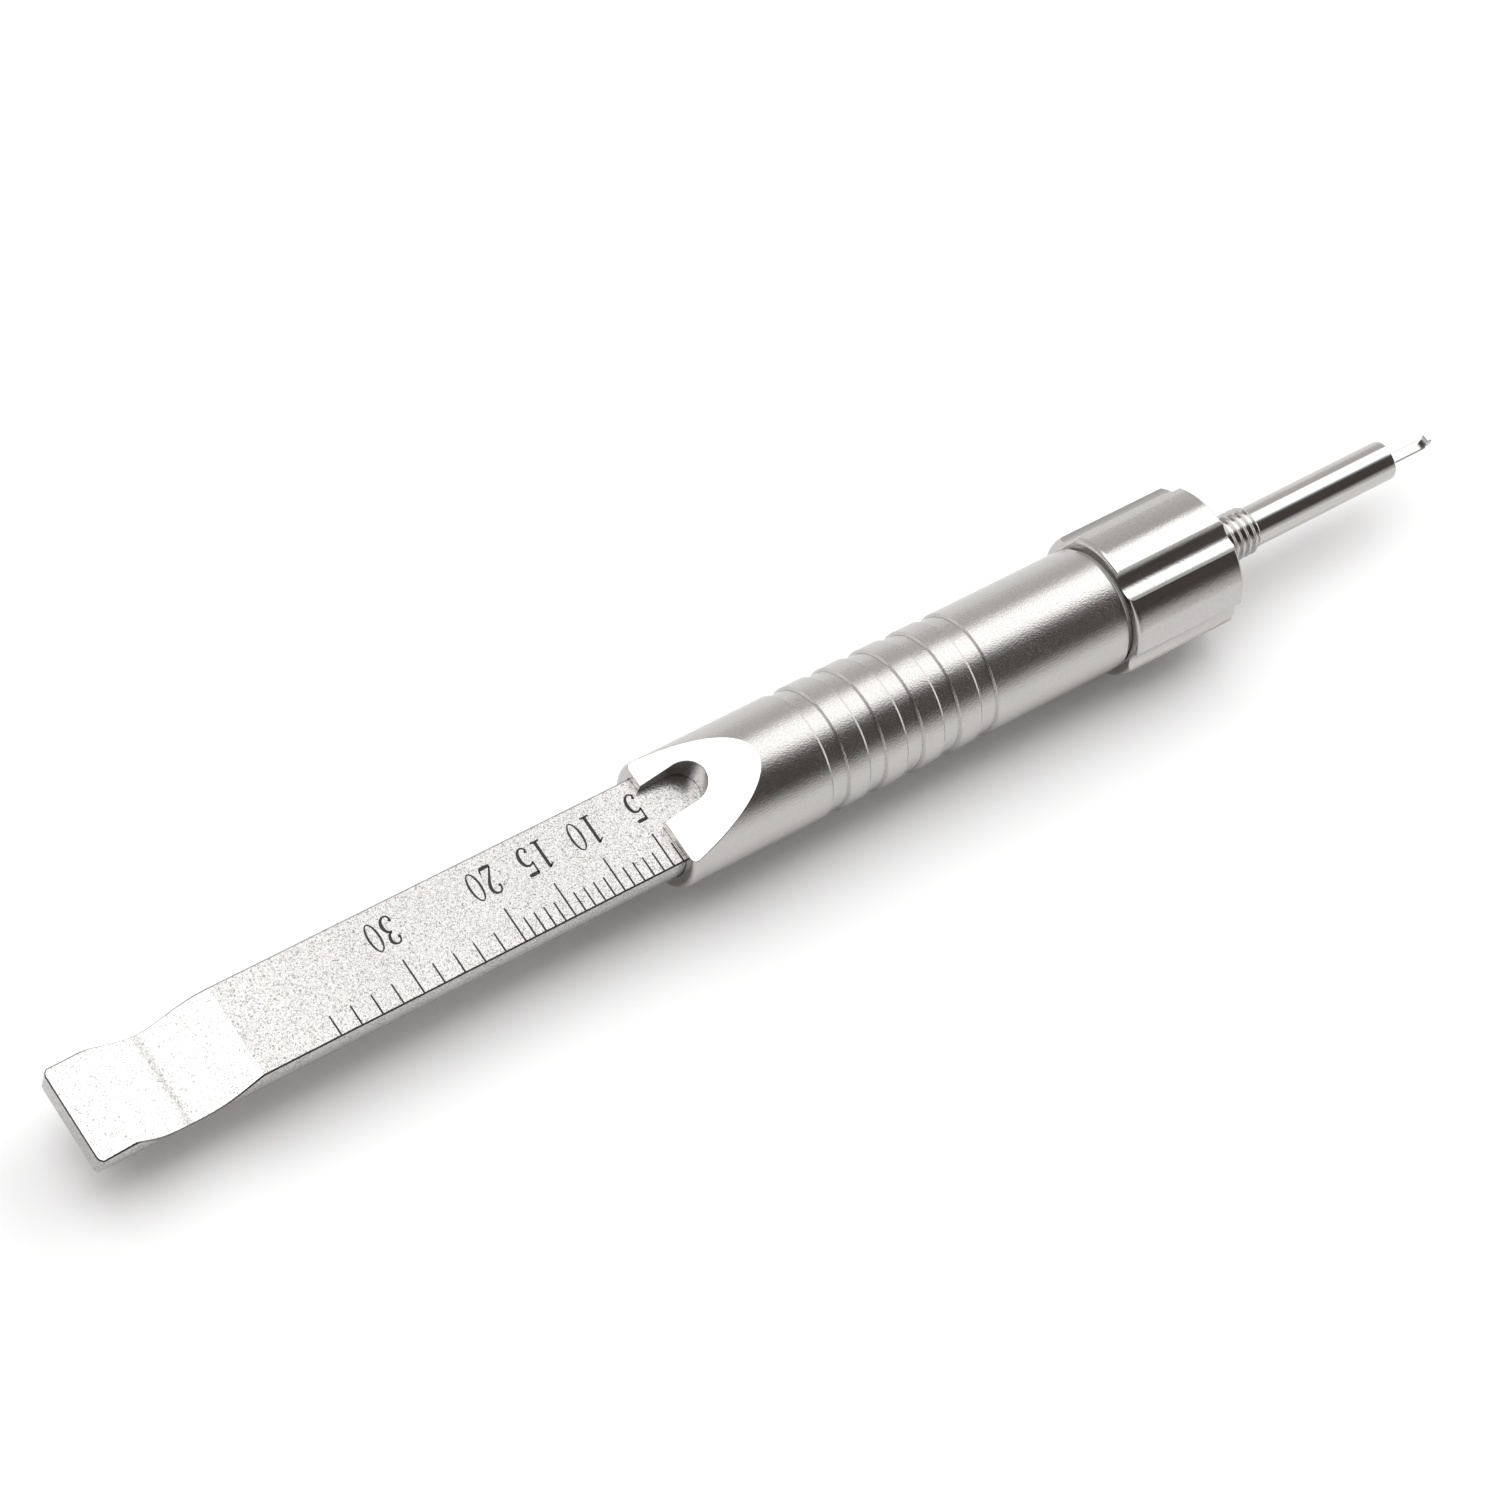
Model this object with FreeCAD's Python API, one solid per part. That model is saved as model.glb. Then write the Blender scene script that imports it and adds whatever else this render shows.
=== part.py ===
# Surgical screw depth gauge: a scale blade slides in a round barrel and pushes a
# hooked probe out through a protection sleeve; the reading is taken at the two
# prongs at the rear of the barrel.  Millimetres, +Z up.
# Frame: origin at the centre of the sleeve's front face (the measuring datum),
# +X along the tool towards the hook, +Z square to the scale face.
import FreeCAD, Part
import math
import os

V = FreeCAD.Vector
XDIR = V(1, 0, 0)

# ------------------------------------------------------------ driving dimensions
reading = 3.8              # scale reading in which the gauge is drawn
reading_max = 38.0         # last graduation
travel_back = reading      # slide travel towards reading 0
travel_fwd = reading_max - reading

# barrel
barrel_r = 5.81
barrel_rear = -82.94       # the edge of the two prongs, where the scale is read
barrel_front = -35.35
barrel_edge_r = 0.55       # rounded outer edge at the rear
flat_edge_r = 0.07         # broken edge round the slanted flat and the window
bore_r = 4.66              # running bore of the blade
flat_ceiling = 1.46        # underside of the prongs over the scale face
nose_bore_r = 4.90         # counterbore that takes the bushing flange
nose_bore_len = 4.0
groove_w = 1.95            # five shallow grip grooves
groove_depth = 0.24
groove_front_edges = [-66.47, -62.45, -58.40, -54.38, -50.28]
slant_end_z = 2.25         # slanted flat: height at the prong edge
slant_slope = 0.3916       # rise per mm towards the nose
slot_r = 1.87              # reading window between the prongs
slot_y = 1.12
slot_centre_x = -79.90
ceiling_end = -74.90       # front end of the ceiling, beyond the slanted flat's break-out
carrier_bore_r = 2.50      # relief for the carrier through the ceiling's front end

# nose bushing (pressed into the barrel, threaded M8 x 0.75 for the collar)
bush_thread_r = 4.00
bush_bore_r = 2.50
bush_front = -30.60
bush_relief_r = 3.45
collar_pitch = 0.75

# fluted collar
collar_r = 6.73
collar_rear = -35.10
collar_front = -22.80
collar_rim_r = 0.45
collar_chamfer = 0.38
collar_bore_r = 4.06
collar_cavity_end = -27.70
flute_cutter_r = 2.27
flute_depth = 0.70
flute_angles = [106.7 + 72.0 * i for i in range(5)]

# protection sleeve, M4.5 x 0.75 shoulder
sleeve_r = 1.90
sleeve_bore_r = 1.25
sleeve_thread_r = 2.25
sleeve_pitch = 0.75
sleeve_thread_depth = 0.40
sleeve_rear = -30.10
sleeve_thread_front = -16.70
sleeve_edge_r = 0.22
sleeve_hole_r = 2.29       # bore of the collar's front wall over the thread crests

# scale blade (rod milled flat above and below)
blade_r = 4.60
blade_top = 1.41           # scale face
blade_bottom = -2.40
blade_rear = -139.60
blade_front = -74.00
blade_edge_c = 0.105       # broken edge round the scale face and the hollow
stop_groove_w = 1.60
stop_groove_top = -1.60

# probe
rod_r = 1.15
strip_half_w = 0.50
strip_top = -0.75
strip_bottom = -1.03
catch_x = 5.30             # hook catch face beyond the sleeve's face
hook_tip_x = 5.98
hook_top = 0.06
hook_half_w = 0.38
milled_from = -38.0

# probe carrier
carrier_r = 2.35
carrier_front = -66.30

pin_x = -80.90
pin_r = 0.75

os.makedirs("parts", exist_ok=True)


# ------------------------------------------------------------------- helpers
def lathe(points):
    """Solid of revolution about the tool axis from (x, r) points."""
    pts = [V(x, 0, r) for x, r in points]
    w = Part.makePolygon(pts + [pts[0]])
    return Part.Face(w).revolve(V(0, 0, 0), XDIR, 360)


def cyl(r, x0, x1):
    return Part.makeCylinder(r, x1 - x0, V(x0, 0, 0), XDIR)


def vcyl(r, x, y, z0, z1):
    return Part.makeCylinder(r, z1 - z0, V(x, y, z0), V(0, 0, 1))


def box(x0, x1, y0, y1, z0, z1):
    return Part.makeBox(x1 - x0, y1 - y0, z1 - z0, V(x0, y0, z0))


def one(shape):
    """A single clean solid."""
    s = shape.removeSplitter()
    if s.ShapeType != "Solid" and len(s.Solids) == 1:
        s = s.Solids[0]
    return s


def save(name, shape):
    n = len(shape.Solids)
    print("%-24s solids %d  valid %s  volume %.2f mm3" % (name, n, shape.isValid(), shape.Volume))
    shape.exportStep("parts/%s.step" % name)


def torus_solid(ring_r, wire_r, x):
    return Part.makeTorus(ring_r, wire_r, V(x, 0, 0), XDIR)


def soften(shape, edges, radius, what):
    """Small edge radii, or the shape unchanged where they can't be built."""
    if not edges:
        print("no edges to round:", what)
        return shape
    try:
        out = shape.makeFillet(radius, edges)
        if out.isValid() and abs(out.Volume - shape.Volume) < 0.05 * shape.Volume and len(out.Solids) == 1:
            print("rounded %d edges: %s" % (len(edges), what))
            return out.Solids[0]
    except Exception:
        pass
    print("edges left sharp:", what)
    return shape


def bevel(shape, edges, size, what):
    """Small chamfers, or the shape unchanged where they can't be built."""
    try:
        out = shape.makeChamfer(size, edges)
        if out.isValid() and abs(out.Volume - shape.Volume) < 0.05 * shape.Volume and len(out.Solids) == 1:
            print("chamfered %d edges: %s" % (len(edges), what))
            return out.Solids[0]
    except Exception:
        pass
    print("edges left sharp:", what)
    return shape


# ------------------------------------------------------------- handle barrel
e = barrel_edge_r
m = math.sqrt(0.5)
seg = []
a = V(barrel_rear, 0, 0)
b = V(barrel_rear, 0, barrel_r - e)
c = V(barrel_rear + e, 0, barrel_r)
mid = V(barrel_rear + e - e * m, 0, barrel_r - e + e * m)
f = V(barrel_front - 0.25, 0, barrel_r)
g = V(barrel_front, 0, barrel_r - 0.25)
h = V(barrel_front, 0, 0)
wire = Part.Wire([Part.makeLine(a, b), Part.Arc(b, mid, c).toShape(), Part.makeLine(c, f),
                  Part.makeLine(f, g), Part.makeLine(g, h), Part.makeLine(h, a)])
barrel = Part.Face(wire).revolve(V(0, 0, 0), XDIR, 360)

# grip grooves: shallow and flat-bottomed, turned round the barrel with sloping ends
for x1 in groove_front_edges:
    x0 = x1 - groove_w
    top = barrel_r + 1.0
    bottom = barrel_r - groove_depth
    profile = Part.Face(Part.makePolygon([
        V(x0, 0, barrel_r), V(x0 + 0.28, 0, bottom), V(x1 - 0.14, 0, bottom), V(x1, 0, barrel_r),
        V(x1, 0, top), V(x0, 0, top), V(x0, 0, barrel_r)]))
    barrel = barrel.cut(profile.revolve(V(0, 0, 0), XDIR, 360))

# running bore with the flat ceiling under the prongs
bore = cyl(bore_r, barrel_rear - 1, barrel_front - nose_bore_len)
bore = bore.cut(box(barrel_rear - 2, ceiling_end, -7, 7, flat_ceiling, 7))
barrel = barrel.cut(bore)
# the ceiling is relieved for the carrier, which comes under it at the rear end of the travel
barrel = barrel.cut(cyl(carrier_bore_r, slot_centre_x + slot_r + 0.08, ceiling_end + 1))
barrel = barrel.cut(cyl(nose_bore_r, barrel_front - nose_bore_len, barrel_front + 1))

# slanted flat over the prongs
x_far = barrel_rear + (barrel_r + 1.0 - slant_end_z) / slant_slope
prism = Part.Face(Part.makePolygon([
    V(barrel_rear - 1, -8, slant_end_z - slant_slope), V(x_far, -8, barrel_r + 1.0),
    V(x_far, -8, 9), V(barrel_rear - 1, -8, 9), V(barrel_rear - 1, -8, slant_end_z - slant_slope)]))
barrel = barrel.cut(prism.extrude(V(0, 16, 0)))

# reading window: end-milled slot open to the rear
slot = vcyl(slot_r, slot_centre_x, slot_y, 0.2, 8).fuse(
    box(barrel_rear - 1, slot_centre_x, slot_y - slot_r, slot_y + slot_r, 0.2, 8))
barrel = barrel.cut(slot)

# holes for the travel stop pin, the brake rivet and the bushing pin (underside)
rivet_x = -64.5
bush_pin_x = -37.3
barrel = barrel.cut(vcyl(pin_r, pin_x, 0, -7, -3))
barrel = barrel.cut(vcyl(0.6, rivet_x, 0, -7, -3))
barrel = barrel.cut(Part.makeCone(0.6, 1.25, 0.65, V(rivet_x, 0, -5.2), V(0, 0, -1)))
barrel = barrel.cut(vcyl(0.5, bush_pin_x, 0, -7, -3))
barrel = one(barrel)
tilt = math.atan(slant_slope)
slant_n = V(-math.sin(tilt), 0, math.cos(tilt))


def slant_edges(shape, in_window):
    """Edges of the slanted flat: its outline, or the window's three sides."""
    out = []
    for fc in shape.Faces:
        if fc.Surface.TypeId == "Part::GeomPlane" and fc.Area > 20 and abs(abs(fc.Surface.Axis.dot(slant_n)) - 1) < 1e-6:
            for ed in fc.Edges:
                bb = ed.BoundBox
                window = bb.XMax < slot_centre_x + slot_r + 0.1 and bb.YMin > slot_y - slot_r - 0.05 \
                    and bb.YMax < slot_y + slot_r + 0.05 and bb.XLength > 0.1
                if window == in_window:
                    out.append(ed)
    return out


barrel = soften(barrel, slant_edges(barrel, False)[:1], flat_edge_r, "outline of the slanted flat")
barrel = soften(barrel, slant_edges(barrel, True)[:1], flat_edge_r, "reading window")
save("handle_barrel", barrel)

# travel stop pin: its inner end runs in the groove under the blade
pin = vcyl(pin_r, pin_x, 0, -5.72, stop_groove_top - 0.12)
pin = pin.common(cyl(barrel_r - 0.06, pin_x - 3, pin_x + 3))
save("travel_stop_pin", one(pin))

# ---------------------------------------------------------------- brake spring
# leaf riveted to the bottom of the bore; its crowned rear end bears on the blade
st = 0.25
seat = -4.12
half = 2.0
p = [V(-62.6, 0, seat), V(-67.0, 0, seat)]
tip1 = V(-77.2, 0, blade_bottom - 0.02 - st)
tip0 = V(-79.4, 0, blade_bottom - 0.35 - st)
crown = V(-78.3, 0, blade_bottom - 0.10 - st)
lower = [Part.makeLine(V(-62.6, 0, seat), V(-67.0, 0, seat)),
         Part.makeLine(V(-67.0, 0, seat), tip1),
         Part.Arc(tip1, crown, tip0).toShape()]
up = V(0, 0, st)
upper = [Part.makeLine(V(-62.6, 0, seat + st), V(-67.0, 0, seat + st)),
         Part.makeLine(V(-67.0, 0, seat + st), tip1 + up),
         Part.Arc(tip1 + up, crown + up, tip0 + up).toShape()]
ends = [Part.makeLine(V(-62.6, 0, seat), V(-62.6, 0, seat + st)), Part.makeLine(tip0, tip0 + up)]
w = Part.Wire(Part.__sortEdges__(lower + upper + ends))
leaf = Part.Face(w).extrude(V(0, 2 * half, 0))
leaf.translate(V(0, -half, 0))
leaf = leaf.cut(vcyl(0.62, rivet_x, 0, -6, -3))
save("brake_spring", one(leaf))

rivet = vcyl(0.6, rivet_x, 0, -5.2, seat + st)
rivet = rivet.fuse(Part.makeCone(0.6, 1.16, 0.56, V(rivet_x, 0, -5.2), V(0, 0, -1)))
rivet = rivet.fuse(Part.makeCone(1.15, 0.75, 0.42, V(rivet_x, 0, seat + st), V(0, 0, 1)))
save("brake_rivet", one(rivet))

# ----------------------------------------------------------------- nose bushing
bx0 = barrel_front - nose_bore_len
pts = [(bx0, 0), (bx0, nose_bore_r), (barrel_front, nose_bore_r), (barrel_front, bush_relief_r),
       (-34.35, bush_relief_r), (-34.35, 3.62), (-34.05, bush_thread_r)]
x = -34.05
while x + collar_pitch < bush_front - 0.2:
    pts += [(x + 0.10, bush_thread_r), (x + 0.10 + 0.275, bush_thread_r - 0.38), (x + 0.65, bush_thread_r)]
    x += collar_pitch
pts += [(bush_front - 0.3, bush_thread_r), (bush_front, bush_thread_r - 0.3), (bush_front, 0)]
bush = lathe(pts).cut(cyl(bush_bore_r, bx0 - 1, bush_front + 1))
bush = bush.cut(vcyl(0.5, bush_pin_x, 0, -7, -3.9))
save("nose_bushing", one(bush))

bpin = vcyl(0.5, bush_pin_x, 0, -5.70, -3.9)
save("bushing_pin", one(bpin))

bumper_t = 0.40
bumper = cyl(4.55, bx0 - bumper_t, bx0).cut(cyl(2.60, bx0 - 1, bx0 + 1))
save("forward_bumper", one(bumper))

oring = torus_solid((bush_relief_r + 4.02) / 2.0, (4.02 - bush_relief_r) / 2.0, -34.78)
save("collar_o_ring", oring)

washer = lathe([(-35.32, 4.10), (-35.32, 5.35), (-35.13, 5.35), (-35.13, 4.10)])
save("collar_washer", one(washer))

# ---------------------------------------------------------------- fluted collar
r = collar_rim_r
ca = V(collar_rear, 0, 0)
cb = V(collar_rear, 0, collar_r - r)
cc = V(collar_rear + r, 0, collar_r)
cm = V(collar_rear + r - r * m, 0, collar_r - r + r * m)
cd = V(collar_front - collar_chamfer, 0, collar_r)
ce = V(collar_front, 0, collar_r - collar_chamfer)
cf = V(collar_front, 0, 0)
w = Part.Wire([Part.makeLine(ca, cb), Part.Arc(cb, cm, cc).toShape(), Part.makeLine(cc, cd),
               Part.makeLine(cd, ce), Part.makeLine(ce, cf), Part.makeLine(cf, ca)])
collar = Part.Face(w).revolve(V(0, 0, 0), XDIR, 360)
dist = collar_r - flute_depth + flute_cutter_r
for ang in flute_angles:
    t = math.radians(ang)
    cutter = Part.makeCylinder(flute_cutter_r, collar_front - collar_rear + 4,
                               V(collar_rear - 2, dist * math.cos(t), dist * math.sin(t)), XDIR)
    collar = collar.cut(cutter)
inner = lathe([(collar_rear - 1, 0), (collar_rear - 1, collar_bore_r), (collar_cavity_end - 0.6, collar_bore_r),
               (collar_cavity_end, collar_bore_r - 0.6), (collar_cavity_end, sleeve_hole_r),
               (collar_front - 0.25, sleeve_hole_r), (collar_front, sleeve_hole_r + 0.25),
               (collar_front + 1, sleeve_hole_r + 0.25), (collar_front + 1, 0)])
collar = collar.cut(inner)
save("fluted_collar", one(collar))

# ------------------------------------------------------------ protection sleeve
pts = [(sleeve_rear, sleeve_bore_r), (sleeve_rear, 2.10), (-29.78, 2.10), (-29.78, 1.80), (-29.22, 1.80),
       (-29.22, 2.00), (-28.97, sleeve_thread_r)]
x = -28.97
while x + sleeve_pitch < sleeve_thread_front - 0.2:
    pts += [(x + 0.09, sleeve_thread_r), (x + 0.09 + 0.285, sleeve_thread_r - sleeve_thread_depth),
            (x + 0.66, sleeve_thread_r)]
    x += sleeve_pitch
pts += [(sleeve_thread_front - 0.35, sleeve_thread_r), (sleeve_thread_front, sleeve_r)]
er = sleeve_edge_r
sl = [V(px, 0, pr) for px, pr in pts]
edges = [Part.makeLine(sl[i], sl[i + 1]) for i in range(len(sl) - 1)]
s1 = V(-er, 0, sleeve_r)
s2 = V(0, 0, sleeve_r - er)
sm = V(-er + er * m, 0, sleeve_r - er + er * m)
s3 = V(0, 0, sleeve_bore_r + 0.10)
s4 = V(-0.10, 0, sleeve_bore_r)
edges += [Part.makeLine(sl[-1], s1), Part.Arc(s1, sm, s2).toShape(), Part.makeLine(s2, s3),
          Part.makeLine(s3, s4), Part.makeLine(s4, sl[0])]
sleeve = Part.Face(Part.Wire(edges)).revolve(V(0, 0, 0), XDIR, 360)
save("protection_sleeve", one(sleeve))

ring = cyl(2.95, -29.75, -29.25).cut(cyl(1.84, -31, -28))
ring = ring.cut(box(-31, -28, -0.7, 0.7, 0, 4))
save("sleeve_retaining_ring", one(ring))

# ------------------------------------------------------------------ scale blade
blade = cyl(blade_r, blade_rear, blade_front).common(
    box(blade_rear - 1, blade_front + 1, -6, 6, blade_bottom, blade_top))
# thumb hollow across the rear end and the ridge behind it
hollow = [(-124.45, blade_top), (-126.4, 0.55), (-128.6, -0.62), (-130.5, -1.12), (-132.2, -0.90),
          (-134.2, -0.10), (-136.15, 1.02)]
spl = Part.BSplineCurve()
spl.interpolate([V(hx, 0, hz) for hx, hz in hollow],
                InitialTangent=V(-1, 0, -0.30), FinalTangent=V(-1, 0, 0.42))
top_z = 3.0
hw_ = Part.Wire([spl.toShape(),
                 Part.makeLine(V(hollow[-1][0], 0, hollow[-1][1]), V(blade_rear - 1, 0, 0.66)),
                 Part.makeLine(V(blade_rear - 1, 0, 0.66), V(blade_rear - 1, 0, top_z)),
                 Part.makeLine(V(blade_rear - 1, 0, top_z), V(hollow[0][0], 0, top_z)),
                 Part.makeLine(V(hollow[0][0], 0, top_z), V(hollow[0][0], 0, hollow[0][1]))])
hc = Part.Face(hw_).extrude(V(0, 14, 0))
hc.translate(V(0, -7, 0))
blade = blade.cut(hc)
# underside of the rear end is bevelled up to a blunt end face
bev = Part.Face(Part.makePolygon([V(blade_rear - 1, 0, -1.42), V(blade_rear, 0, -1.42), V(blade_rear + 2.2, 0, blade_bottom),
                                  V(blade_rear + 2.2, 0, -4), V(blade_rear - 1, 0, -4), V(blade_rear - 1, 0, -1.42)]))
bev = bev.extrude(V(0, 14, 0))
bev.translate(V(0, -7, 0))
blade = blade.cut(bev)
# corners of the end face, rounded in plan
for sy in (1, -1):
    rc = 0.7
    corner = box(blade_rear - 0.5, blade_rear + rc, blade_r - rc, blade_r + 1, -4, 3)
    corner = corner.cut(vcyl(rc, blade_rear + rc, blade_r - rc, -5, 4))
    if sy < 0:
        corner = corner.mirror(V(0, 0, 0), V(0, 1, 0))
    blade = blade.cut(corner)
# stop groove in the underside, round-ended
gx0 = pin_x - travel_fwd
gx1 = pin_x + travel_back
gw = stop_groove_w / 2.0
blade = blade.cut(box(gx0, gx1, -gw, gw, -4, stop_groove_top))
blade = blade.cut(vcyl(gw, gx0, 0, -4, stop_groove_top)).cut(vcyl(gw, gx1, 0, -4, stop_groove_top))
# mortise for the carrier's tenon, and its dowel hole drilled from below
ten_w, ten_z0, ten_z1, ten_len = 1.6, -1.10, 0.50, 5.0
blade = blade.cut(box(blade_front - ten_len - 0.05, blade_front + 1, -ten_w, ten_w, ten_z0, ten_z1))
dowel_x = -75.1
blade = blade.cut(vcyl(0.45, dowel_x, 0, -4, 0.9))
blade = one(blade)


def top_edge(ed):
    """Edges of the upper surface along the two sides and across the rear end."""
    fs = blade.ancestorsOfType(ed, Part.Face)
    up = [q for q in fs if q.normalAt(*q.Surface.parameter(q.CenterOfMass)).z > 0.5]
    return len(fs) == 2 and len(up) == 1


edge_r = []
for ed in blade.Edges:
    bb = ed.BoundBox
    if bb.XMin > blade_front - 0.5 or bb.ZMax < -1.35:
        continue
    side = bb.YMin > 3.5 or bb.YMax < -3.5
    rear = bb.XMax < blade_rear + 0.75 and bb.ZMin > 0.3
    if side and top_edge(ed) or rear and top_edge(ed):
        edge_r.append(ed)
blade = bevel(blade, edge_r, blade_edge_c, "scale face")
save("scale_blade", blade)

carrier = cyl(carrier_r, blade_front, carrier_front)
carrier = carrier.fuse(box(blade_front - ten_len, blade_front + 0.5, -ten_w, ten_w, ten_z0, ten_z1))
nosecut = Part.makeCone(carrier_r + 0.01, carrier_r - 0.59, 0.6, V(carrier_front - 0.6, 0, 0), XDIR)
carrier = carrier.cut(cyl(carrier_r + 1, carrier_front - 0.6, carrier_front + 1).cut(nosecut))
carrier = carrier.cut(cyl(rod_r, carrier_front - 6.0, carrier_front + 1))
carrier = carrier.cut(vcyl(0.8, -69.0, 0, 0, 4))
carrier = carrier.cut(vcyl(0.45, dowel_x, 0, -4, 0.9))
save("probe_carrier", one(carrier))

dowel = vcyl(0.45, dowel_x, 0, blade_bottom + 0.05, 0.9)
save("carrier_dowel", one(dowel))

grub = vcyl(0.8, -69.0, 0, 1.00, 2.20)
hexa = Part.Face(Part.makePolygon([V(-69.0 + 0.40 * math.cos(math.radians(60 * i)), 0.40 * math.sin(math.radians(60 * i)), 1.6)
                                   for i in range(7)])).extrude(V(0, 0, 2))
grub = grub.cut(hexa)
save("probe_set_screw", one(grub))

# ------------------------------------------------------------------ hooked probe
rod = cyl(rod_r, carrier_front - 6.0, hook_tip_x)
# seat for the set screw's tip
rod = rod.cut(box(-70.2, -67.8, -2, 2, 1.0, 3))
# front length milled down to a strip, hook left standing
rod = rod.cut(box(milled_from, catch_x, -2, 2, strip_top, 2))
for s in (1, -1):
    y0, y1 = (strip_half_w, 2) if s > 0 else (-2, -strip_half_w)
    rod = rod.cut(box(milled_from, catch_x + 0.0, y0, y1, -2, 2))
    y0, y1 = (hook_half_w, 2) if s > 0 else (-2, -hook_half_w)
    rod = rod.cut(box(catch_x, hook_tip_x + 1, y0, y1, -2, 2))
rod = rod.cut(box(milled_from, hook_tip_x + 1, -2, 2, -3, strip_bottom))
rod = rod.cut(box(catch_x - 0.1, hook_tip_x + 1, -2, 2, hook_top, 3))
# undercut catch face and rounded nose
under = Part.Face(Part.makePolygon([V(catch_x - 0.01, 0, strip_top), V(catch_x + 0.16, 0, strip_top), V(catch_x - 0.01, 0, hook_top - 0.25),
                                    V(catch_x - 0.01, 0, strip_top)])).extrude(V(0, 4, 0))
under.translate(V(0, -2, 0))
rod = rod.cut(under)
nose = box(hook_tip_x - 0.45, hook_tip_x + 1, -2, 2, -2, 2).cut(
    Part.makeCylinder(0.55, 4, V(hook_tip_x - 0.55, -2, -0.45), V(0, 1, 0))).cut(
    box(hook_tip_x - 0.60, hook_tip_x - 0.44, -2, 2, -2, 2))
rod = rod.cut(nose)
rod = one(rod)
# broken edges along the strip's two upper edges and round the top of the hook
strip_edges = [ed for ed in rod.Edges if abs(ed.BoundBox.ZMin - strip_top) < 1e-4 and abs(ed.BoundBox.ZMax - strip_top) < 1e-4
               and ed.BoundBox.XLength > 30 and abs(abs(ed.BoundBox.YMin) - strip_half_w) < 1e-4 and ed.BoundBox.YLength < 1e-4]
rod = bevel(rod, strip_edges, 0.07, "probe strip")
hook_edges = [ed for ed in rod.Edges if abs(ed.BoundBox.ZMin - hook_top) < 1e-4 and ed.BoundBox.XMin > catch_x - 0.05]
rod = bevel(rod, hook_edges, 0.06, "hook")
save("hook_probe", rod)
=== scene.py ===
import math

import bmesh
import bpy
from mathutils import Matrix, Vector


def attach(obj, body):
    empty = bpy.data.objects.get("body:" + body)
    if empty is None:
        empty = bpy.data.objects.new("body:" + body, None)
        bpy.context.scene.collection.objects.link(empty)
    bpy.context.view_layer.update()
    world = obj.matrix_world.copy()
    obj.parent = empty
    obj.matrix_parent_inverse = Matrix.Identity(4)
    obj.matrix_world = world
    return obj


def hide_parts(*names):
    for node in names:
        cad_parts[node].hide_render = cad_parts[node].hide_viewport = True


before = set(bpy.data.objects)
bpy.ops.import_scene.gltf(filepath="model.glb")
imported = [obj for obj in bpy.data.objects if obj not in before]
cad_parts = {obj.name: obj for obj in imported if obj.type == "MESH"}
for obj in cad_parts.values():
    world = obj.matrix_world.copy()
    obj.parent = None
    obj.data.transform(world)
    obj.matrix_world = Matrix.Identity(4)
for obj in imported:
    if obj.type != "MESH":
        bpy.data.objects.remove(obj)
bpy.context.view_layer.update()

MM = 0.001
scene = bpy.context.scene
scene.view_settings.view_transform = "Standard"
scene.view_settings.look = "None"

# ------------------------------------------------------------------- sizes (mm)
FLOOR_Z = -6.73            # lowest point of the collar, which the tool rests on
SCALE_ZERO = -79.144       # x of the scale's zero at rest
FACE_Z = 1.41              # scale face
MARK_TOP = FACE_Z + 0.012
MARK_BOTTOM = FACE_Z - 0.02


# --------------------------------------------------------------------- helpers
def new_object(name, verts, faces, smooth=False, sharp_deg=None):
    """Mesh object from millimetre vertices."""
    me = bpy.data.meshes.new(name)
    me.from_pydata([(x * MM, y * MM, z * MM) for x, y, z in verts], [], faces)
    me.validate()
    bm = bmesh.new()
    bm.from_mesh(me)
    bmesh.ops.recalc_face_normals(bm, faces=bm.faces)
    bm.to_mesh(me)
    bm.free()
    if smooth:
        for p in me.polygons:
            p.use_smooth = True
        if sharp_deg:
            me.set_sharp_from_angle(angle=math.radians(sharp_deg))
    ob = bpy.data.objects.new(name, me)
    bpy.context.collection.objects.link(ob)
    return ob


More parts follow.
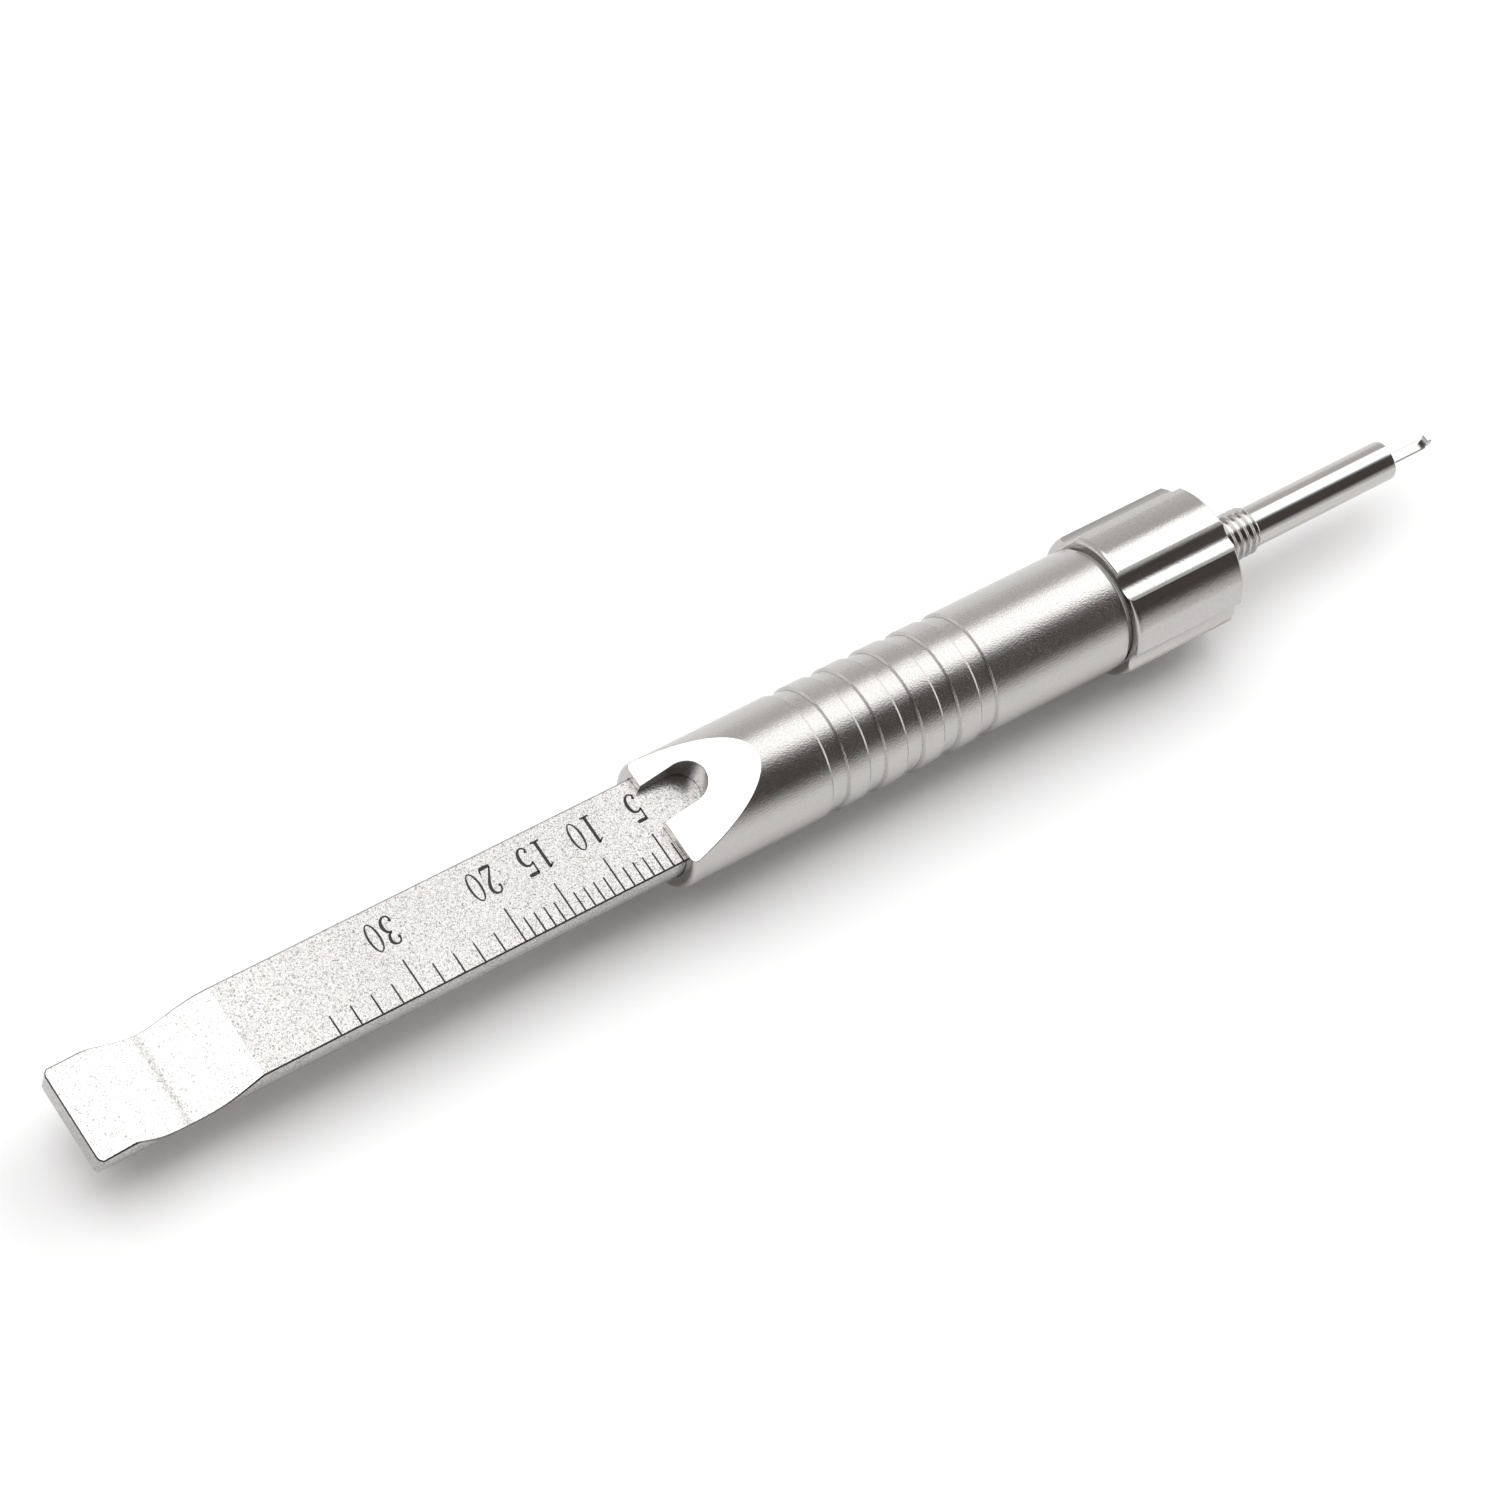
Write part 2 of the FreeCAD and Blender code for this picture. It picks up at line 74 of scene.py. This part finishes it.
class Tree:
    """Short-hand for building a node tree."""

    def __init__(self, name):
        self.mat = bpy.data.materials.new(name)
        self.mat.use_nodes = True
        self.nt = self.mat.node_tree
        self.nt.nodes.clear()
        self.out = self.nt.nodes.new("ShaderNodeOutputMaterial")
        self.bsdf = self.nt.nodes.new("ShaderNodeBsdfPrincipled")
        self.nt.links.new(self.bsdf.outputs["BSDF"], self.out.inputs["Surface"])
        self.tc = self.nt.nodes.new("ShaderNodeTexCoord")

    def link(self, a, b):
        self.nt.links.new(a, b)

    def mapped(self, scale):
        m = self.nt.nodes.new("ShaderNodeMapping")
        m.inputs["Scale"].default_value = scale
        self.link(self.tc.outputs["Object"], m.inputs["Vector"])
        return m.outputs["Vector"]

    def noise(self, vec, scale, detail=2.0, rough=0.5, distort=0.0, kind="FBM"):
        n = self.nt.nodes.new("ShaderNodeTexNoise")
        n.noise_type = kind
        n.inputs["Scale"].default_value = scale
        n.inputs["Detail"].default_value = detail
        n.inputs["Roughness"].default_value = rough
        n.inputs["Distortion"].default_value = distort
        self.link(vec, n.inputs["Vector"])
        return n.outputs["Fac"]

    def remap(self, val, a, b, c, d):
        m = self.nt.nodes.new("ShaderNodeMapRange")
        for k, v in zip(("From Min", "From Max", "To Min", "To Max"), (a, b, c, d)):
            m.inputs[k].default_value = v
        self.link(val, m.inputs["Value"])
        return m.outputs["Result"]

    def math(self, op, a, b=None):
        m = self.nt.nodes.new("ShaderNodeMath")
        m.operation = op
        for i, v in enumerate((a, b)):
            if v is None:
                continue
            if isinstance(v, (int, float)):
                m.inputs[i].default_value = v
            else:
                self.link(v, m.inputs[i])
        return m.outputs[0]

    def mix(self, fac, c1, c2):
        m = self.nt.nodes.new("ShaderNodeMix")
        m.data_type = "RGBA"
        for sock, v in ((m.inputs["Factor"], fac), (m.inputs[6], c1), (m.inputs[7], c2)):
            if hasattr(v, "is_linked"):
                self.link(v, sock)
            elif isinstance(v, (int, float)):
                sock.default_value = v
            else:
                sock.default_value = (*v, 1.0)
        return m.outputs[2]

    def bump(self, height, distance_mm, strength=1.0, normal=None):
        b = self.nt.nodes.new("ShaderNodeBump")
        b.inputs["Strength"].default_value = strength
        b.inputs["Distance"].default_value = distance_mm * MM
        self.link(height, b.inputs["Height"])
        if normal is not None:
            self.link(normal, b.inputs["Normal"])
        return b.outputs["Normal"]


def steel(name, base, dark, rough, rough_var, grain_mm, grain_height, patch=0.10, lines=None, second=None):
    """Stainless steel: blasted or turned grain, uneven tone and uneven roughness.
    grain_mm is the size of the grain, grain_height its depth in millimetres;
    lines = (spacing_mm, height_mm) adds turning lines round the tool axis."""
    t = Tree(name)
    mm = t.mapped((1000, 1000, 1000))
    t.bsdf.inputs["Metallic"].default_value = 1.0
    grain = t.noise(mm, 1.0 / grain_mm, 2.5, 0.55, 0.25)
    broad = t.noise(mm, 1.0 / 9.0, 3.0, 0.55)
    fine = t.noise(mm, 3.1 / grain_mm, 1.0, 0.5)
    tone = t.math("ADD", t.remap(grain, 0.30, 0.70, -0.5, 0.5), t.remap(broad, 0.3, 0.7, 0.5 - patch, 0.5 + patch))
    t.link(t.mix(tone, dark, base), t.bsdf.inputs["Base Color"])
    t.link(t.remap(t.math("ADD", broad, fine), 0.7, 1.3, rough - rough_var, rough + rough_var), t.bsdf.inputs["Roughness"])
    n = t.bump(grain, grain_height)
    n = t.bump(fine, grain_height * 0.25, 1.0, n)
    if lines:
        spacing, height = lines
        lv = t.mapped((1000 / spacing, 45, 45))
        n = t.bump(t.noise(lv, 1.0, 2.0, 0.6), height, 1.0, n)
    t.link(n, t.bsdf.inputs["Normal"])
    return t


# ------------------------------------------------------------------- materials
barrel_mat = steel("satin_barrel_steel", (0.520, 0.508, 0.497), (0.450, 0.438, 0.428), 0.20, 0.03, 0.15, 0.0190).mat
collar_mat = steel("turned_collar_steel", (0.512, 0.500, 0.490), (0.465, 0.453, 0.444), 0.13, 0.03, 0.24, 0.0090,
                   lines=(0.10, 0.0006)).mat


def blasted():
    """Blasted blade: pale steel crossed by thin dark pits, with painted shade on the edge chamfers (faces whose normal
    tilts about 35 to 63 degrees from up are coloured dark).
    """
    t = steel("blasted_blade_steel", (0.540, 0.530, 0.521), (0.500, 0.490, 0.482), 0.22, 0.04, 0.22, 0.0120)
    mm = t.mapped((1000, 1000, 1000))
    base = t.bsdf.inputs["Base Color"].links[0].from_socket
    worm = t.math("ABSOLUTE", t.math("SUBTRACT", t.noise(mm, 1.0 / 0.21, 1.2, 0.5, 0.6), 0.5))
    worm = t.remap(worm, 0.008, 0.052, 0.0, 1.0)
    pale = t.mix(worm, (0.170, 0.164, 0.160), base)
    geo = t.nt.nodes.new("ShaderNodeNewGeometry")
    xyz = t.nt.nodes.new("ShaderNodeSeparateXYZ")
    t.link(geo.outputs["True Normal"], xyz.inputs[0])
    up = xyz.outputs["Z"]
    # painted shade: chamfer faces, picked by the tilt of their normal, get a dark colour that stands in for the dark
    # reflection line along the blade's edges
    painted_edge_shade = t.math("MULTIPLY", t.remap(up, 0.46, 0.50, 0.0, 1.0), t.remap(up, 0.78, 0.82, 1.0, 0.0))
    t.link(t.mix(painted_edge_shade, pale, (0.150, 0.144, 0.140)), t.bsdf.inputs["Base Color"])
    return t.mat


blade_mat = blasted()
sleeve_mat = steel("polished_sleeve_steel", (0.525, 0.513, 0.503), (0.480, 0.470, 0.461), 0.12, 0.03, 0.20, 0.0022,
                   lines=(0.12, 0.0006)).mat
probe_mat = steel("bright_probe_steel", (0.420, 0.414, 0.408), (0.370, 0.365, 0.360), 0.15, 0.03, 0.15, 0.0012).mat
inner_mat = steel("machined_inner_steel", (0.560, 0.548, 0.535), (0.470, 0.460, 0.448), 0.26, 0.05, 0.16, 0.0015,
                  lines=(0.16, 0.0020)).mat
pin_mat = steel("ground_pin_steel", (0.600, 0.590, 0.578), (0.520, 0.510, 0.500), 0.20, 0.04, 0.14, 0.0012).mat
spring_mat = steel("rolled_spring_steel", (0.500, 0.485, 0.462), (0.400, 0.386, 0.366), 0.30, 0.05, 0.20, 0.0020).mat


def ptfe():
    t = Tree("white_ptfe")
    mm = t.mapped((1000, 1000, 1000))
    g = t.noise(mm, 3.0, 3.0, 0.6)
    t.link(t.mix(g, (0.80, 0.80, 0.77), (0.88, 0.88, 0.85)), t.bsdf.inputs["Base Color"])
    t.link(t.remap(g, 0.3, 0.7, 0.40, 0.52), t.bsdf.inputs["Roughness"])
    t.link(t.bump(g, 0.004), t.bsdf.inputs["Normal"])
    return t.mat


def silicone():
    t = Tree("red_brown_silicone")
    mm = t.mapped((1000, 1000, 1000))
    g = t.noise(mm, 4.0, 3.0, 0.6)
    t.link(t.mix(g, (0.20, 0.055, 0.035), (0.28, 0.085, 0.055)), t.bsdf.inputs["Base Color"])
    t.link(t.remap(g, 0.3, 0.7, 0.34, 0.46), t.bsdf.inputs["Roughness"])
    t.link(t.bump(g, 0.003), t.bsdf.inputs["Normal"])
    return t.mat


def etched():
    """Dark laser-etched mark, slightly uneven."""
    t = Tree("etched_mark")
    mm = t.mapped((1000, 1000, 1000))
    g = t.noise(mm, 7.0, 3.0, 0.65)
    t.link(t.mix(t.remap(g, 0.35, 0.65, 0, 1), (0.016, 0.015, 0.015), (0.040, 0.038, 0.036)), t.bsdf.inputs["Base Color"])
    t.link(t.remap(g, 0.3, 0.7, 0.50, 0.70), t.bsdf.inputs["Roughness"])
    t.bsdf.inputs["Specular IOR Level"].default_value = 0.25
    t.link(t.bump(g, 0.004), t.bsdf.inputs["Normal"])
    return t.mat


ptfe_mat, silicone_mat, mark_mat = ptfe(), silicone(), etched()
by_node = {
    "handle_barrel": barrel_mat, "travel_stop_pin": pin_mat, "brake_spring": spring_mat, "brake_rivet": pin_mat,
    "nose_bushing": inner_mat, "bushing_pin": pin_mat, "forward_bumper": ptfe_mat, "collar_o_ring": silicone_mat,
    "collar_washer": ptfe_mat, "fluted_collar": collar_mat, "sleeve_retaining_ring": spring_mat,
    "protection_sleeve": sleeve_mat, "scale_blade": blade_mat, "probe_carrier": inner_mat,
    "carrier_dowel": pin_mat, "probe_set_screw": inner_mat, "hook_probe": probe_mat,
}
for n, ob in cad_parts.items():
    ob.data.materials.clear()
    ob.data.materials.append(by_node[n])

# ------------------------------------------- protection sleeve with a real helix
PITCH, CREST, DEPTH = 0.75, 2.25, 0.40
T0, T1 = -28.97, -16.70
COLS = 112


def thread_r(x, th):
    """Radius of a right-hand 60-degree thread with a rounded root and a small crest flat."""
    p = ((x - T0) / PITCH - th / (2 * math.pi)) % 1.0
    d = abs(p - 0.5)
    s = min(max((0.445 - d) / 0.385, 0.0), 1.0)
    s = 0.6 * s + 0.4 * s * s * (3 - 2 * s)
    r = CREST - DEPTH * s
    r = min(r, 1.90 + (T1 - x) * 1.0)            # chamfer at the shoulder
    r = min(r, 2.00 + (x - T0) * 1.0)            # chamfer at the retaining ring's groove
    return r


rows = [(-30.10, 1.25), (-30.10, 2.04), (-30.04, 2.10), (-29.78, 2.10), (-29.78, 1.80), (-29.22, 1.80), (-29.22, 2.00),
        (T0, None)]
step = PITCH / 18
x = T0 + step
while x < T1 - step / 2:
    rows.append((x, None))
    x += step
rows.append((T1, 1.90))
for i in range(1, 25):
    rows.append((T1 + (-0.22 - T1) * i / 24.0, 1.90))
for i in range(1, 9):
    a = math.radians(90 * i / 8.0)
    rows.append((-0.22 + 0.22 * math.sin(a), 1.90 - 0.22 * (1 - math.cos(a))))
rows += [(0.0, 1.36), (-0.03, 1.29), (-0.10, 1.25)]
for i in range(1, 13):
    rows.append((-0.10 + (-30.10 + 0.10) * i / 13.0, 1.25))
verts, faces = [], []
for x, r in rows:
    for c in range(COLS):
        th = 2 * math.pi * c / COLS
        rr = thread_r(x, th) if r is None else r
        verts.append((x, rr * math.cos(th), rr * math.sin(th)))
R = len(rows)
for i in range(R):
    j = (i + 1) % R
    for c in range(COLS):
        d = (c + 1) % COLS
        faces.append((i * COLS + c, i * COLS + d, j * COLS + d, j * COLS + c))
sleeve = new_object("threaded_sleeve", verts, faces, smooth=True, sharp_deg=42)
sleeve.data.materials.append(sleeve_mat)
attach(sleeve, "sleeve")
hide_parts("protection_sleeve")


# --------------------------------------------------- graduations and figures
def strip(verts, faces, pts, widths):
    """Adds a closed flat ribbon along a centreline of (x, y) points on the scale face."""
    n = len(pts)
    base = len(verts)
    for i in range(n):
        a = pts[max(i - 1, 0)]
        b = pts[min(i + 1, n - 1)]
        tx, ty = b[0] - a[0], b[1] - a[1]
        L = math.hypot(tx, ty) or 1.0
        nx, ny = -ty / L, tx / L
        w = widths[i] / 2.0
        for z in (MARK_TOP, MARK_BOTTOM):
            verts.append((pts[i][0] + nx * w, pts[i][1] + ny * w, z))
            verts.append((pts[i][0] - nx * w, pts[i][1] - ny * w, z))
    for i in range(n - 1):
        p, q = base + 4 * i, base + 4 * (i + 1)
        faces.append((p, p + 1, q + 1, q))            # top
        faces.append((p + 2, q + 2, q + 3, p + 3))    # bottom
        faces.append((p, q, q + 2, p + 2))            # one side
        faces.append((p + 1, p + 3, q + 3, q + 1))    # other side
    faces.append((base, base + 2, base + 3, base + 1))
    e = base + 4 * (n - 1)
    faces.append((e, e + 1, e + 3, e + 2))


def disc(verts, faces, cx, cy, r, n=20):
    base = len(verts)
    for z in (MARK_TOP, MARK_BOTTOM):
        for i in range(n):
            a = 2 * math.pi * i / n
            verts.append((cx + r * math.cos(a), cy + r * math.sin(a), z))
    faces.append(tuple(base + i for i in range(n)))
    faces.append(tuple(base + n + i for i in reversed(range(n))))
    for i in range(n):
        j = (i + 1) % n
        faces.append((base + i, base + n + i, base + n + j, base + j))


def ring(verts, faces, outer, inner):
    base = len(verts)
    n = len(outer)
    for z in (MARK_TOP, MARK_BOTTOM):
        for loop in (outer, inner):
            for px, py in loop:
                verts.append((px, py, z))
    for i in range(n):
        j = (i + 1) % n
        faces.append((base + i, base + j, base + n + j, base + n + i))
        faces.append((base + 2 * n + i, base + 3 * n + i, base + 3 * n + j, base + 2 * n + j))
        faces.append((base + i, base + 2 * n + i, base + 2 * n + j, base + j))
        faces.append((base + n + i, base + n + j, base + 3 * n + j, base + 3 * n + i))


def spline(ctrl, per=8):
    """Catmull-Rom through (a, b, width) control points."""
    out = []
    n = len(ctrl)
    for i in range(n - 1):
        p0, p1, p2, p3 = ctrl[max(i - 1, 0)], ctrl[i], ctrl[i + 1], ctrl[min(i + 2, n - 1)]
        for k in range(per):
            t = k / per
            out.append(tuple(0.5 * ((2 * p1[m]) + (-p0[m] + p2[m]) * t + (2 * p0[m] - 5 * p1[m] + 4 * p2[m] - p3[m]) * t * t
                                    + (-p0[m] + 3 * p1[m] - 3 * p2[m] + p3[m]) * t ** 3) for m in range(3)))
    out.append(tuple(ctrl[-1]))
    return out


verts, faces = [], []
for k in list(range(1, 21)) + list(range(22, 39, 2)):
    tx = SCALE_ZERO - k
    y_end = -0.92 if k in (5, 10, 15, 20, 30) else -2.40
    strip(verts, faces, [(tx, -4.30), (tx, (y_end - 4.30) / 2), (tx, y_end)], [0.165, 0.160, 0.140])
ticks = new_object("scale_graduations", verts, faces)
ticks.data.materials.append(mark_mat)
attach(ticks, "slide")

FIG_TOP = 0.43             # y of the figures' upper ends; a figure's up is -Y and its right is -X
GLYPHS = {
    "5": {"curves": [
        [(-0.47, 0.115, 0.20), (-0.1, 0.115, 0.23), (0.30, 0.110, 0.23), (0.49, 0.075, 0.15)],
        [(-0.42, 0.08, 0.11), (-0.425, 0.60, 0.10), (-0.44, 1.20, 0.10)],
        [(-0.44, 1.20, 0.08), (-0.30, 1.04, 0.10), (-0.02, 0.97, 0.13), (0.31, 1.16, 0.18), (0.455, 1.72, 0.22),
         (0.34, 2.36, 0.18), (-0.02, 2.69, 0.11), (-0.33, 2.60, 0.10), (-0.46, 2.36, 0.12)]],
        "balls": [(-0.385, 2.26, 0.135)]},
    "1": {"curves": [
        [(-0.46, 0.33, 0.05), (-0.26, 0.24, 0.10), (-0.02, 0.05, 0.09)],
        [(0.0, 0.0, 0.14), (0.0, 0.25, 0.20), (0.0, 1.6, 0.20), (0.0, 2.60, 0.21)],
        [(-0.42, 2.69, 0.09), (-0.12, 2.66, 0.13), (0.12, 2.66, 0.13), (0.43, 2.69, 0.09)]], "balls": []},
    "2": {"curves": [
        [(-0.43, 0.60, 0.12), (-0.36, 0.23, 0.10), (-0.03, 0.055, 0.11), (0.33, 0.24, 0.17), (0.43, 0.68, 0.21),
         (0.28, 1.20, 0.19), (-0.10, 1.85, 0.13), (-0.50, 2.55, 0.10)],
        [(-0.54, 2.62, 0.16), (-0.1, 2.62, 0.23), (0.30, 2.62, 0.23), (0.44, 2.58, 0.18)],
        [(0.42, 2.60, 0.12), (0.52, 2.38, 0.08), (0.55, 2.12, 0.05)]],
        "balls": [(-0.39, 0.66, 0.135)]},
    "3": {"curves": [
        [(-0.45, 0.52, 0.12), (-0.34, 0.20, 0.10), (-0.03, 0.055, 0.11), (0.32, 0.24, 0.17), (0.40, 0.62, 0.20),
         (0.26, 1.02, 0.15), (-0.08, 1.24, 0.09)],
        [(-0.08, 1.24, 0.09), (0.28, 1.36, 0.15), (0.47, 1.86, 0.22), (0.33, 2.42, 0.18), (-0.04, 2.69, 0.11),
         (-0.36, 2.60, 0.10), (-0.50, 2.30, 0.12)]],
        "balls": [(-0.41, 0.58, 0.13), (-0.44, 2.20, 0.135)]},
    "0": {"oval": (0.59, 1.375, 0.205, 0.115)},
}
FIGURES = [("figure_5", [("5", -4.95)]), ("figure_10", [("1", -9.35), ("0", -10.90)]),
           ("figure_15", [("1", -14.36), ("5", -15.93)]), ("figure_20", [("2", -19.50), ("0", -21.07)]),
           ("figure_30", [("3", -29.47), ("0", -31.03)])]
for name, glyphs in FIGURES:
    verts, faces = [], []
    for g, xs in glyphs:
        cx = SCALE_ZERO + xs
        spec = GLYPHS[g]
        if "oval" in spec:
            ra, rb, wa, wb = spec["oval"]
            N = 56
            outer = [(cx - ra * math.cos(2 * math.pi * i / N), FIG_TOP + rb - rb * math.sin(2 * math.pi * i / N)) for i in range(N)]
            inner = [(cx - (ra - wa) * math.cos(2 * math.pi * i / N), FIG_TOP + rb - (rb - wb) * math.sin(2 * math.pi * i / N))
                     for i in range(N)]
            ring(verts, faces, outer, inner)
            continue
        for c in spec["curves"]:
            s = spline(c)
            strip(verts, faces, [(cx - a, FIG_TOP + b) for a, b, w in s], [w * 1.38 + 0.015 for a, b, w in s])
        for a, b, r in spec["balls"]:
            disc(verts, faces, cx - a, FIG_TOP + b, r)
    fig = new_object(name, verts, faces)
    fig.data.materials.append(mark_mat)
    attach(fig, "slide")

# ----------------------------------------------------------------------- floor
S = 1500.0
floor = new_object("floor", [(-S, -S, FLOOR_Z), (S, -S, FLOOR_Z), (S, S, FLOOR_Z), (-S, S, FLOOR_Z)], [(0, 1, 2, 3)])
ft = Tree("pale_floor")
fmm = ft.mapped((1000, 1000, 1000))
fn = ft.noise(fmm, 0.02, 2.0, 0.5)
ft.link(ft.mix(fn, (0.865, 0.865, 0.865), (0.885, 0.885, 0.885)), ft.bsdf.inputs["Base Color"])
ft.bsdf.inputs["Roughness"].default_value = 0.9
ft.bsdf.inputs["Specular IOR Level"].default_value = 0.1
ft.bsdf.inputs["Emission Color"].default_value = (1, 1, 1, 1)
ft.bsdf.inputs["Emission Strength"].default_value = 0.0
floor.data.materials.append(ft.mat)

# ------------------------------------------------------ studio light (the world)
# A long overhead softbox, pale walls, and a dark opening behind the camera.
world = bpy.data.worlds.new("studio")
scene.world = world
world.use_nodes = True
wt = world.node_tree
wt.nodes.clear()
wo = wt.nodes.new("ShaderNodeOutputWorld")
tc = wt.nodes.new("ShaderNodeTexCoord")
sep = wt.nodes.new("ShaderNodeSeparateXYZ")
wt.links.new(tc.outputs["Generated"], sep.inputs[0])


def wmath(op, a, b=0.0):
    m = wt.nodes.new("ShaderNodeMath")
    m.operation = op
    for i, v in enumerate((a, b)):
        if isinstance(v, (int, float)):
            m.inputs[i].default_value = v
        else:
            wt.links.new(v, m.inputs[i])
    return m.outputs[0]


def wramp(fac, stops):
    r = wt.nodes.new("ShaderNodeValToRGB")
    r.color_ramp.interpolation = "LINEAR"
    while len(r.color_ramp.elements) > 1:
        r.color_ramp.elements.remove(r.color_ramp.elements[-1])
    for i, (p, c) in enumerate(stops):
        e = r.color_ramp.elements[0] if i == 0 else r.color_ramp.elements.new(p)
        e.position = p
        e.color = (*c, 1.0)
    wt.links.new(fac, r.inputs[0])
    return r.outputs[0]


PEAK = 3.2
SOFT = 3.00
angle = wmath("ABSOLUTE", wmath("ARCTAN2", sep.outputs["Z"], sep.outputs["Y"]))
turn = wmath("DIVIDE", angle, math.pi)
warm = (1.0, 0.985, 0.97)
dusk = (0.10, 0.084, 0.078)


def lv(v, tint=(1, 1, 1)):
    return tuple(v * t / PEAK for t in tint)


along = [(0, lv(0.91, warm)), (11, lv(0.84, warm)), (21, lv(0.77, warm)), (31, lv(0.71, warm)), (40, lv(0.74, warm)),
         (50, lv(SOFT)), (88, lv(SOFT)), (94, lv(1.5)), (99, lv(0.62)), (105, lv(0.14, warm)),
         (112, lv(1.0, dusk)), (130, lv(1.0, dusk)), (148, lv(0.9, dusk)), (154, lv(1.3, dusk)), (160, lv(0.30, warm)),
         (166, lv(0.58, warm)), (172, lv(0.74, warm)), (180, lv(0.92, warm))]
lit = wramp(turn, [(a / 180.0, c) for a, c in along])
# the softbox dims at one third of its length and ends above the rear end of the tool
walls = [(0, lv(0.91, warm)), (31, lv(0.71, warm)), (48, lv(0.30, warm)), (60, lv(1.2, dusk)), (150, lv(1.1, dusk)),
         (166, lv(0.58, warm)), (180, lv(0.92, warm))]
wall = wramp(turn, [(a / 180.0, c) for a, c in walls])
span = wmath("ADD", wmath("MULTIPLY", sep.outputs["X"], 0.5), 0.5)


def grey(v):
    return (v, v, v)


xfac = wramp(span, [(0.0, grey(0)), (0.10, grey(0)), (0.18, grey(1)), (1.0, grey(1))])
dip = wramp(span, [(0.0, grey(1)), (0.60, grey(1)), (0.640, grey(0.72)), (0.665, grey(0.59)), (0.72, grey(0.49)), (0.745, grey(0.58)), (0.77, grey(0.85)),
                    (0.80, grey(1)), (1.0, grey(1))])
ahead = wramp(span, [(0.0, grey(0)), (0.85, grey(0)), (0.92, grey(1)), (1.0, grey(1))])
over = wramp(turn, [(0.0, grey(0)), (36 / 180.0, grey(0)), (46 / 180.0, grey(1)), (96 / 180.0, grey(1)), (106 / 180.0, grey(0)),
                    (1.0, grey(0))])
mixn = wt.nodes.new("ShaderNodeMix")
mixn.data_type = "RGBA"
wt.links.new(xfac, mixn.inputs["Factor"])
wt.links.new(wall, mixn.inputs[6])
wt.links.new(lit, mixn.inputs[7])
dimmed = wt.nodes.new("ShaderNodeMix")
dimmed.data_type = "RGBA"
dimmed.blend_type = "MULTIPLY"
wt.links.new(over, dimmed.inputs["Factor"])
wt.links.new(mixn.outputs[2], dimmed.inputs[6])
wt.links.new(dip, dimmed.inputs[7])
bg = wt.nodes.new("ShaderNodeBackground")
lamp = wt.nodes.new("ShaderNodeMix")            # bright panel beyond the hook
lamp.data_type = "RGBA"
wt.links.new(ahead, lamp.inputs["Factor"])
wt.links.new(dimmed.outputs[2], lamp.inputs[6])
lamp.inputs[7].default_value = (*lv(3.0), 1.0)
wt.links.new(lamp.outputs[2], bg.inputs["Color"])
bg.inputs["Strength"].default_value = PEAK
plain = wt.nodes.new("ShaderNodeBackground")
plain.inputs["Color"].default_value = (1.0, 1.0, 1.0, 1.0)
plain.inputs["Strength"].default_value = 0.98
lp = wt.nodes.new("ShaderNodeLightPath")
ms = wt.nodes.new("ShaderNodeMixShader")
wt.links.new(lp.outputs["Is Camera Ray"], ms.inputs["Fac"])
wt.links.new(bg.outputs[0], ms.inputs[1])
wt.links.new(plain.outputs[0], ms.inputs[2])
wt.links.new(ms.outputs[0], wo.inputs["Surface"])

# ---------------------------------------------------------------------- camera
cam_data = bpy.data.cameras.new("camera")
cam_data.sensor_width = 36.0
cam_data.lens = 109.346
cam_data.clip_start = 0.01
cam_data.clip_end = 20.0
cam = bpy.data.objects.new("camera", cam_data)
bpy.context.collection.objects.link(cam)
right = Vector((0.8010, -0.5535, 0.2281)).normalized()
down = Vector((-0.4006, -0.7787, -0.4828))
down = (down - right * down.dot(right)).normalized()
fwd = right.cross(down)
m = Matrix(((right.x, -down.x, -fwd.x), (right.y, -down.y, -fwd.y), (right.z, -down.z, -fwd.z)))
cam.matrix_world = Matrix.Translation(Vector((-0.244368, -0.112611, 0.329018))) @ m.to_4x4()
scene.camera = cam

bpy.context.view_layer.update()
